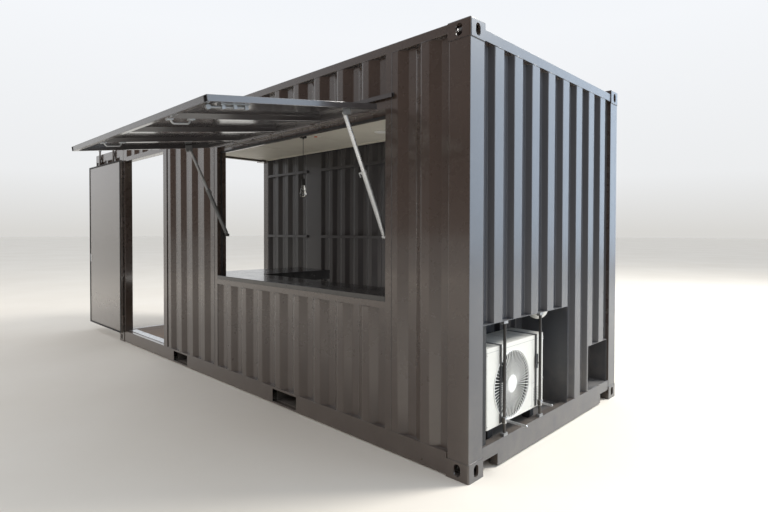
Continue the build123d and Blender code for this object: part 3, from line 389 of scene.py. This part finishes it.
by_face("guard_bars", [
    ("dull_zinc_and_shade", lambda c: c.z < 0.2015 or c.z > 0.9475),
    ("steel", lambda c: c.x > 3.0221),
])
by_face("pendant_lamp", [("flex", lambda c: c.z > 2.169)])
by_face("condenser_grille", [("white", lambda c: math.hypot(c.y + 0.625, c.z - 0.5) < 0.0615)])
by_face("hatch_frame", [("under", lambda c: 1.487 < c.z < 1.583 and (2.2935 < c.x < 2.2995 or -0.1495 < c.x < -0.1435 or 2.25 < c.x < 2.2935 or -0.1435 < c.x < -0.10))])
by_face("condenser_recess", [("gasket", lambda c: 2.9995 < c.x < 3.0045 and c.y < -0.99)])
by_face("flap_lugs", [("dull_zinc_and_shade", lambda c: True)])
# painted skylight: the end-facing faces of the posts, rails and castings take the bluish end copy of the paint, for the
# sky light on that side
for name in ("end_posts", "end_rails", "corner_castings"):
    edge = max(v.co.x for v in NODES[name].data.vertices) - 0.0025
    by_face(name, [("end_painted_skylight", lambda c: c.x > edge)])
by_face("shop_door_frame", [("steel", lambda c: c.z < 0.161 and -1.161 < c.y < -1.061 and -2.80 < c.x < -1.52)])

# the back wall wears the outer paint on its outer side
back = NODES["back_wall"].data
back.materials.append(M["paint"])
for f in back.polygons:
    if f.normal.y > 0.3:
        f.material_index = 1

for name, width in (
    ("flap_frame", 0.0022), ("bench_top", 0.004), ("hatch_frame", 0.0022), ("shop_door_frame", 0.0022),
    ("end_posts", 0.004), ("top_side_rails", 0.003), ("bottom_side_rails", 0.0015), ("end_rails", 0.0018),
    ("rear_frame", 0.0022), ("guard_bars", 0.0012), ("shop_door_leaf", 0.0014), ("shop_door_straps", 0.001),
    ("shop_door_rods", 0.0012), ("cargo_near_leaf", 0.0014), ("cargo_far_leaf", 0.0014), ("cargo_near_rods", 0.0012),
    ("cargo_far_rods", 0.0012), ("condenser_feet", 0.003), ("condenser_case", 0.002), ("wall_rails", 0.001),
    ("flap_bolts", 0.0012), ("flap_lugs", 0.001), ("ceiling_light", 0.003),
    ("pendant_rose", 0.003), ("bench_legs", 0.001), ("condenser_straps", 0.0004), ("condenser_recess", 0.0008),
    ("inlet_recess", 0.0008), ("corner_castings", 0.0015), ("cross_members", 0.0008), ("fork_tunnels", 0.0008),
    ("hatch_hinges", 0.0008), ("door_hinge_lugs", 0.0008), ("cargo_near_blades", 0.001), ("cargo_far_blades", 0.001),
    ("condenser_grille", 0.0004), ("ceiling", 0.0008),
    ("floor", 0.0008), ("shop_door_latch", 0.0006),
):
    soften(name, width)


def round_bends(name, width):
    """Rounds the long bends of a folded sheet, found by the angle between the faces on each side."""
    o = NODES[name]
    me = o.data
    key = lambda v: tuple(round(c * 20000) for c in me.vertices[v].co)
    around = {}
    for f in me.polygons:
        for a, b in f.edge_keys:
            around.setdefault(frozenset((key(a), key(b))), []).append(f.normal.copy())
    w = me.attributes.new("bevel_weight_edge", "FLOAT", "EDGE")
    for e in me.edges:
        a, b = e.vertices
        n = around.get(frozenset((key(a), key(b))), [])
        if len(n) == 2 and me.vertices[a].co != me.vertices[b].co:
            ang = math.degrees(n[0].angle(n[1], 0.0))
            w.data[e.index].value = 1.0 if 14.0 < ang < 75.0 else 0.0
    weld = o.modifiers.new("weld", "WELD")
    weld.merge_threshold = 0.00005
    b = o.modifiers.new("bend", "BEVEL")
    b.width, b.segments, b.limit_method = width, 4, "WEIGHT"
    b.use_clamp_overlap = False


for name, width in (("front_wall", 0.009), ("back_wall", 0.009), ("end_wall_upper", 0.006), ("end_wall_lower", 0.005),
                    ("recess_back", 0.005), ("roof", 0.004), ("flap_skin", 0.004), ("hatch_flashing", 0.0015)):
    round_bends(name, width)


# ------------------------------------------------------------------ welds
def wall_depth(u, phase, pitch=0.286, crest=0.073, slope=0.070, depth=0.036):
    r = (u - phase) % pitch
    root = pitch - crest - 2 * slope
    if r <= crest:
        return 0.0
    if r <= crest + slope:
        return depth * (r - crest) / slope
    if r <= crest + slope + root:
        return depth
    return depth * (pitch - r) / slope


def wave_line(u0, u1, phase, pitch, crest, slope):
    root = pitch - crest - 2 * slope
    out = {u0, u1}
    k = math.floor((u0 - phase) / pitch) - 1
    while phase + k * pitch < u1 + pitch:
        for off in (0, crest, crest + slope, crest + slope + root):
            u = phase + k * pitch + off
            if u0 + 0.002 < u < u1 - 0.002:
                out.add(u)
        k += 1
    return sorted(out)


bm = bmesh.new()
for x0, x1, z0, z1 in ((2.3605, 2.8595, 0.1562, 2.8288), (-0.1495, 2.2995, 0.1562, 1.0188), (-0.1495, 2.2995, 2.5212, 2.8288),
                       (-1.4095, -0.2105, 0.1562, 2.8288)):
    us = wave_line(x0, x1, 0.058, 0.286, 0.073, 0.070)
    for z in (z0, z1):
        add_tube(bm, [(u, -(1.2128 - wall_depth(u, 0.058)), z) for u in us], 0.0028, 6)
    for x in (x0 + 0.0012, x1 - 0.0012):
        add_tube(bm, [(x, -(1.2128 - wall_depth(x, 0.058)), z0 + 0.004), (x, -(1.2128 - wall_depth(x, 0.058)), z1 - 0.004)], 0.0028, 6)
finish_mesh("weld_front", bm, "weld", "container", 60)

bm = bmesh.new()
for y0, y1, z in ((-1.0575, 1.0575, 2.7858), (0.1815, 1.0575, 0.1812)):
    us = wave_line(y0, y1, 0.070, 0.250, 0.110, 0.018)
    pts = [(3.0217 - wall_depth(u, 0.070, 0.250, 0.110, 0.018, 0.045), u, z) for u in us]
    add_tube(bm, pts, 0.0028, 6)
for y in (-1.0572, 1.0572):
    add_tube(bm, [(3.0212, y, 0.99), (3.0212, y, 2.77)], 0.0026, 6)
finish_mesh("weld_end", bm, "weld", "container", 60)

# welds around the foot and head of each corner post
bm = bmesh.new()
for sy in (-1, 1):
    for z in (0.1195, 2.7765):
        add_tube(bm, [(2.862, sy * 1.2155, z), (3.0235, sy * 1.2155, z), (3.0245, sy * 1.2145, z), (3.0245, sy * 1.0595, z)], 0.003, 6)
finish_mesh("weld_posts", bm, "weld", "container", 60)

# ------------------------------------------------------------------ cooling unit
bm = bmesh.new()
add_cyl(bm, (2.900, -0.625, 0.5), 0.055, 0.050, "X", 32, bevel=0.004)
for k in range(3):
    a0 = math.tau * k / 3 + 0.35
    rows = []
    for i in range(8):
        r = 0.050 + (0.215 - 0.050) * i / 7
        sweep, pitch_a = 0.40 * (i / 7) ** 1.3, math.radians(38 - 16 * i / 7)
        w = 0.055 + 0.075 * (i / 7)
        row = []
        for t in (-0.5, -0.25, 0.0, 0.25, 0.5):
            ang = a0 + sweep + t * w * math.cos(pitch_a) * 1.6 / max(r, 0.07)
            dx = -t * w * math.sin(pitch_a) * 1.2 + 0.006 * (1 - 4 * t * t)
            row.append(bm.verts.new((2.900 + dx, -0.625 + r * math.cos(ang), 0.5 + r * math.sin(ang))))
        rows.append(row)
    for i in range(7):
        for j in range(4):
            bm.faces.new((rows[i][j], rows[i][j + 1], rows[i + 1][j + 1], rows[i + 1][j]))
fan = finish_mesh("condenser_fan", bm, "grey", "container", 40)
sol = fan.modifiers.new("thick", "SOLIDIFY")
sol.thickness = 0.0025

bm = bmesh.new()
add_tube(bm, [(2.966, -0.625 + 0.2335 * math.cos(a), 0.5 + 0.2335 * math.sin(a)) for a in [math.tau * k / 64 for k in range(64)]], 0.0045, 8, True)
add_cyl(bm, (2.800, -0.625, 0.5), 0.240, 0.004, "X", 64)
for k in range(4):
    a = math.tau * (k + 0.5) / 4
    add_tube(bm, [(2.845, -0.625 + 0.045 * math.cos(a), 0.5 + 0.045 * math.sin(a)), (2.845, -0.625 + 0.232 * math.cos(a), 0.5 + 0.232 * math.sin(a))], 0.006, 8)
add_cyl(bm, (2.855, -0.625, 0.5), 0.046, 0.055, "X", 28)
finish_mesh("condenser_motor", bm, "darkplastic", "container", 35)

bm = bmesh.new()
for k in range(60):
    z = 0.272 + 0.0085 * k
    if z < 0.782:
        add_box(bm, (2.7200, -0.945, z), (2.7440, -0.215, z + 0.0012))
for z in [0.29 + 0.052 * k for k in range(10)]:
    add_cyl(bm, (2.732, -0.58, z), 0.0048, 0.72, "Y", 10)
finish_mesh("condenser_coil", bm, "fins", "container", 35)

bm = bmesh.new()
ring = [(2.9856, -0.625 + 0.2395 * math.cos(a), 0.5 + 0.2395 * math.sin(a)) for a in [math.tau * k / 96 for k in range(96)]]
add_tube(bm, ring, 0.0042, 8, True)
for k in range(60):
    a = math.tau * k / 60
    ca, sa = math.cos(a), math.sin(a)
    for r0, r1, w0, w1 in ((0.060, 0.232, 0.0010, 0.0026),):
        q = []
        for x in (2.9838, 2.9853):
            for r, w in ((r0, w0), (r1, w1)):
                for sg in (-1, 1):
                    q.append(bm.verts.new((x, -0.625 + r * ca - sg * w * sa, 0.5 + r * sa + sg * w * ca)))
        bm.faces.new((q[0], q[1], q[3], q[2]))
        bm.faces.new((q[4], q[6], q[7], q[5]))
        bm.faces.new((q[0], q[2], q[6], q[4]))
        bm.faces.new((q[1], q[5], q[7], q[3]))
        bm.faces.new((q[0], q[4], q[5], q[1]))
        bm.faces.new((q[2], q[3], q[7], q[6]))
add_cyl(bm, (2.9862, -0.625, 0.5), 0.054, 0.0026, "X", 48)
finish_mesh("condenser_lip", bm, "white", "container", 45)

bm = bmesh.new()
add_box(bm, (2.7052, -0.9604, 0.7655), (2.9854, -0.1596, 0.7675))
add_box(bm, (2.9846, -0.3415, 0.2640), (2.9854, -0.3400, 0.7655))
add_box(bm, (2.9846, -0.3400, 0.4400), (2.9854, -0.1640, 0.4415))
add_box(bm, (2.7100, -0.1602, 0.4900), (2.9700, -0.1596, 0.4915))
add_box(bm, (2.8380, -0.1602, 0.2640), (2.8395, -0.1596, 0.7655))
for y in (-0.86, -0.72, -0.52, -0.40, -0.24):
    add_box(bm, (2.7250, y, 0.7979), (2.9650, y + 0.004, 0.7986), 0.0003, 1)
for k in range(9):
    z = 0.30 + 0.012 * k
    add_box(bm, (2.9847, -0.318, z), (2.9855, -0.186, z + 0.0038))
finish_mesh("condenser_seams", bm, "seam", "container", 30)

bm = bmesh.new()
for y, z in ((-0.948, 0.275), (-0.948, 0.752), (-0.353, 0.275), (-0.353, 0.752), (-0.172, 0.275), (-0.172, 0.752), (-0.172, 0.452), (-0.330, 0.452)):
    add_cyl(bm, (2.9860, y, z), 0.0042, 0.0022, "X", 12)
for x in (2.73, 2.95):
    for z in (0.275, 0.50, 0.752):
        add_cyl(bm, (x, -0.1592, z), 0.0042, 0.0018, "Y", 12)
for y in (-0.850, -0.270):
    for x in (2.745, 2.909):
        add_cyl(bm, (x, y, 0.2575), 0.0075, 0.0105, "Z", 6)
finish_mesh("condenser_screws", bm, "steel", "container", 30)

bm = bmesh.new()
for y in (-0.785, -0.288):
    add_box(bm, (2.9895, y - 0.018, 0.545), (2.9960, y + 0.018, 0.625), 0.002)
    add_box(bm, (2.9950, y - 0.014, 0.575), (3.0000, y + 0.014, 0.655), 0.0015)
    add_cyl(bm, (2.9955, y, 0.585), 0.0055, 0.040, "Y", 14)
finish_mesh("strap_buckles", bm, "darkplastic", "container", 30)

# fittings that hold the guard bars
bm = bmesh.new()
for y in (-0.770, -0.262):
    for dy in (-0.018, 0.018):
        add_cyl(bm, (3.000, y + dy, 0.2032), 0.0065, 0.0064, "Z", 6)
        add_cyl(bm, (3.000, y + dy, 0.9448), 0.0065, 0.0064, "Z", 6)
    add_tube(bm, [(3.009 + 0.0125 * math.cos(a), y + 0.0125 * math.sin(a), 0.305) for a in [math.tau * k / 20 for k in range(20)]], 0.0028, 6, True)
    add_tube(bm, [(3.009 + 0.0125 * math.cos(a), y + 0.0125 * math.sin(a), 0.264) for a in [math.tau * k / 20 for k in range(20)]], 0.0028, 6, True)
finish_mesh("guard_fittings", bm, "dull_zinc_and_shade", "container", 30)
bm = bmesh.new()
add_cyl(bm, (2.890, -0.085, 0.9645), 0.0835, 0.0036, "Z", 48)
finish_mesh("recess_lamp_ring", bm, "white", "container", 30)

# ------------------------------------------------------------------ door seals, at the leaves' edges
bm = bmesh.new()
Y0, Y1 = -1.2622, -1.2560
for lo_, hi_ in (((-4.219, Y0, 0.126), (-4.197, Y1, 2.574)), ((-2.882, Y0, 0.126), (-2.860, Y1, 2.574)),
                 ((-4.197, Y0, 0.126), (-2.882, Y1, 0.148)), ((-4.197, Y0, 2.552), (-2.882, Y1, 2.574))):
    add_box(bm, lo_, hi_, 0.0015)
finish_mesh("shop_door_seal", bm, "gasket", "shop_door", 30)
bm = bmesh.new()
Y0, Y1 = -1.1090, -1.1040
for lo_, hi_ in (((-4.217, Y0, 0.169), (-4.195, Y1, 2.771)), ((-3.083, Y0, 0.169), (-3.061, Y1, 2.771)),
                 ((-4.195, Y0, 0.169), (-3.083, Y1, 0.191)), ((-4.195, Y0, 2.749), (-3.083, Y1, 2.771))):
    add_box(bm, lo_, hi_, 0.0015)
finish_mesh("cargo_near_seal", bm, "gasket", "cargo_door_near", 30)
bm = bmesh.new()
add_box(bm, (-1.8140, 1.2900, 0.169), (-1.8110, 1.3045, 2.771), 0.001)
finish_mesh("cargo_far_seal", bm, "gasket", "cargo_door_far", 30)

# bolts through the door brackets and straps
bm = bmesh.new()
for x in (-3.986, -3.591):
    for z in (0.2, 0.76, 1.8, 2.5):
        for dx in (-0.024, 0.024):
            for dz in (-0.014, 0.014):
                add_cyl(bm, (x + dx, -1.2071, z + dz), 0.0045, 0.0022, "Y", 6)
for z in (0.310, 1.000, 1.700, 2.390):
    for x in (-2.900, -2.945, -2.985):
        add_cyl(bm, (x, -1.2197, z), 0.0058, 0.0024, "Y", 6)
finish_mesh("shop_door_screws", bm, "steel", "shop_door", 30)

# ------------------------------------------------------------------ hatch
bm = bmesh.new()
for xc in (0.120, 0.760, 1.390, 2.030):
    for s_ in (-1, 1):
        add_cyl(bm, (xc + s_ * 0.0415, -1.2242, 2.5035), 0.0035, 0.0022, "Y", 6)
finish_mesh("hatch_hinge_screws", bm, "steel", "container", 30)

TH = math.radians(82.0)


def lifted(x, y, z):
    """A point given with the flap closed, moved to the flap's rest."""
    dy, dz = y + 1.222, z - 2.488
    return (x, -1.222 + dy * math.cos(TH) + dz * math.sin(TH), 2.488 - dy * math.sin(TH) + dz * math.cos(TH))


LIFT = Matrix.Translation((0, -1.222, 2.488)) @ Matrix.Rotation(-TH, 4, "X") @ Matrix.Translation((0, 1.222, -2.488))
bm = bmesh.new()
for xc in (1.684, 0.466):
    for z in (1.184, 1.349):
        for dx in (-0.009, 0.009):
            add_cyl(bm, (xc + dx, -1.1700, z), 0.0042, 0.0024, "Y", 6)
for xc in (2.227,):
    for z in (1.247, 1.413):
        for dx in (-0.017, 0.017):
            add_cyl(bm, (xc + dx, -1.1710, z), 0.0038, 0.0022, "Y", 6)
bm.transform(LIFT)
finish_mesh("flap_screws", bm, "steel", "hatch", 30)
bm = bmesh.new()
for xa, xb in ((-0.103, 0.424), (0.508, 1.033), (1.117, 1.642), (1.726, 2.253)):
    for y, z in ((-1.2119, 1.1795), (-1.2119, 2.3725)):
        add_tube(bm, [(xa + 0.002, y + 0.0012, z), (xb - 0.002, y + 0.0012, z)], 0.0022, 6)
bm.transform(LIFT)
finish_mesh("flap_welds", bm, "weld", "hatch", 60)

# seal on the stops behind the flap
bm = bmesh.new()
for lo_, hi_ in (((-0.149, -1.1738, 1.16), (-0.131, -1.1702, 2.388)), ((2.281, -1.1738, 1.16), (2.299, -1.1702, 2.388)),
                 ((-0.149, -1.1738, 2.392), (2.299, -1.1702, 2.410))):
    add_box(bm, lo_, hi_, 0.001)
finish_mesh("hatch_seal", bm, "gasket", "container", 30)

# ------------------------------------------------------------------ inside
bm = bmesh.new()
for x in (-1.68, -0.46, 0.76, 1.98):
    add_box(bm, (x - 0.019, -1.05, 2.8098), (x + 0.019, 1.14, 2.8121), 0.0005, 1)
add_box(bm, (-2.86, 1.128, 2.7950), (2.90, 1.147, 2.8121), 0.001, 1)
finish_mesh("ceiling_strips", bm, "ceiling", "container", 30)
bm = bmesh.new()
for x in (-1.68, -0.46, 0.76, 1.98):
    for k in range(12):
        add_cyl(bm, (x, -0.98 + k * 0.18, 2.8092), 0.0038, 0.0016, "Z", 10)
finish_mesh("ceiling_screws", bm, "steel", "container", 30)
bm = bmesh.new()
for i in range(10):
    for j in range(9):
        add_cyl(bm, (-2.75 + i * 0.61, -1.02 + j * 0.255, 0.1552), 0.0045, 0.0009, "Z", 10)
finish_mesh("floor_screws", bm, "steel", "container", 30)
bm = bmesh.new()
add_box(bm, (-0.6020, -1.0980, 1.0680), (-0.5990, 0.1300, 1.1085), 0.0008, 1)
add_box(bm, (-0.6000, 0.1290, 1.0680), (0.0700, 0.1320, 1.1085), 0.0008, 1)
finish_mesh("bench_edging", bm, "bench", "container", 30)
bm = bmesh.new()
add_tube(bm, [(-0.552, 0.227, 2.8085), (-0.50, 0.280, 2.8080), (-0.455, 0.325, 2.8084), (-0.400, 0.372, 2.8086)], 0.0032, 8)
finish_mesh("pendant_lead", bm, "white", "container", 60)
bm = bmesh.new()
add_box(bm, (-0.020, -0.010, -0.006), (0.020, 0.010, 0.006), 0.0015, 2)
bm.transform(Matrix.Translation((-0.452, 0.328, 2.8045)) @ Matrix.Rotation(math.radians(45), 4, "Z"))
finish_mesh("pendant_connector", bm, "orange", "container", 30)
bm = bmesh.new()
add_cyl(bm, (0.391, 0.676, 2.7990), 0.066, 0.0030, "Z", 40)
finish_mesh("ceiling_light_lens", bm, "white", "container", 30)
bm = bmesh.new()
for k in range(6):
    a = math.pi * k / 6
    loop = []
    for i in range(28):
        q = math.tau * i / 28
        rr = 0.0462
        loop.append((-0.567 + rr * math.cos(a) * math.sin(q), 0.212 + rr * math.sin(a) * math.sin(q), 2.060 + rr * math.cos(q)))
    add_tube(bm, loop, 0.0011, 6, True)
add_tube(bm, [(-0.567 + 0.0466 * math.cos(q), 0.212 + 0.0466 * math.sin(q), 2.060) for q in [math.tau * i / 32 for i in range(32)]], 0.0011, 6, True)
finish_mesh("lamp_cage", bm, "flex", "container", 60)

# ------------------------------------------------------------------ stage and light
bm = bmesh.new()
bmesh.ops.create_grid(bm, x_segments=1, y_segments=1, size=150.0)
me = bpy.data.meshes.new("studio_floor")
bm.to_mesh(me)
bm.free()
floor = bpy.data.objects.new("studio_floor", me)
scene.collection.objects.link(floor)
floor.location = (0, 0, -0.0008)
t = Tree("studio_floor")
col = t.mix(t.map(t.noise(0.35, 5.0, 0.6), 0.3, 0.7, 0.0, 1.0), (0.750, 0.695, 0.610), (0.800, 0.750, 0.670))
me.materials.append(t.set(base=col, rough=0.75, spec=0.25))

world = bpy.data.worlds.new("studio")
scene.world = world
world.use_nodes = True
wt = world.node_tree
wt.nodes.clear()
wo = wt.nodes.new("ShaderNodeOutputWorld")
wb = wt.nodes.new("ShaderNodeBackground")
wc = wt.nodes.new("ShaderNodeTexCoord")
wt.links.new(wb.outputs[0], wo.inputs[0])


def wnode(kind, ins, **props):
    x = wt.nodes.new(kind)
    for k, v in props.items():
        setattr(x, k, v)
    for k, v in ins.items():
        if hasattr(v, "is_output") and v.is_output:
            wt.links.new(v, x.inputs[k])
        else:
            x.inputs[k].default_value = v
    return x.outputs


def wmap(v, a, b, c, d):
    return wnode("ShaderNodeMapRange", {0: v, 1: a, 2: b, 3: c, 4: d}, clamp=True, interpolation_type="SMOOTHSTEP")[0]


# pale studio; a darker side behind the camera's left shoulder gives the front wall its depth
wxyz = wnode("ShaderNodeSeparateXYZ", {0: wc.outputs["Generated"]})
wsky = wnode("ShaderNodeValToRGB", {0: wxyz[2]})
e = wt.nodes[-1].color_ramp.elements
e.new(0.10)
e.new(0.35)
e[0].position, e[0].color = 0.0, (0.69, 0.68, 0.655, 1)
e[1].position, e[1].color = 0.10, (0.84, 0.85, 0.86, 1)
e[2].position, e[2].color = 0.35, (0.91, 0.93, 0.96, 1)
e[3].position, e[3].color = 1.0, (0.80, 0.87, 0.97, 1)
AZ = math.radians(267.0)
wdot = wnode("ShaderNodeVectorMath", {0: wc.outputs["Generated"], 1: (math.cos(AZ), math.sin(AZ), 0.0)}, operation="DOT_PRODUCT")[1]
wmask = wnode("ShaderNodeMath", {0: wmap(wdot, 0.50, 0.86, 0.0, 1.0), 1: wmap(wxyz[2], 0.40, 0.70, 1.0, 0.0)}, operation="MULTIPLY")[0]
wmix = wnode("ShaderNodeMix", {0: wmask, 6: wsky[0], 7: (0.165, 0.125, 0.112, 1.0)}, data_type="RGBA")[2]
wt.links.new(wmix, wb.inputs[0])
wb.inputs[1].default_value = 1.0


def area(name, loc, target, size, power, color=(1, 1, 1)):
    d = bpy.data.lights.new(name, "AREA")
    if isinstance(size, tuple):
        d.shape, d.size, d.size_y = "RECTANGLE", size[0], size[1]
    else:
        d.shape, d.size = "DISK", size
    d.energy, d.color = power, color
    o = bpy.data.objects.new(name, d)
    scene.collection.objects.link(o)
    o.location = loc
    o.rotation_mode = "QUATERNION"
    o.rotation_quaternion = (Vector(target) - Vector(loc)).to_track_quat("-Z", "Y")
    return o


area("key", (9.0, 9.0, 12.0), (0, 0, 1.0), 5.0, 2600.0, (1.0, 0.97, 0.92))
fill = area("fill", (-9.0, -12.0, 5.0), (0, -1.2, 1.2), 8.0, 420.0, (1.0, 0.88, 0.77))
fill.visible_glossy = False
area("window", (10.5, 8.0, 4.6), (3.0, 0.0, 1.6), (16.0, 8.0), 760.0, (0.56, 0.76, 1.0))
area("inside", (0.9, 0.45, 0.55), (0.9, 0.46, 2.8), (2.0, 0.8), 17.0, (1.0, 0.97, 0.92))

scene.view_settings.view_transform = "Standard"
scene.view_settings.exposure = 0.0
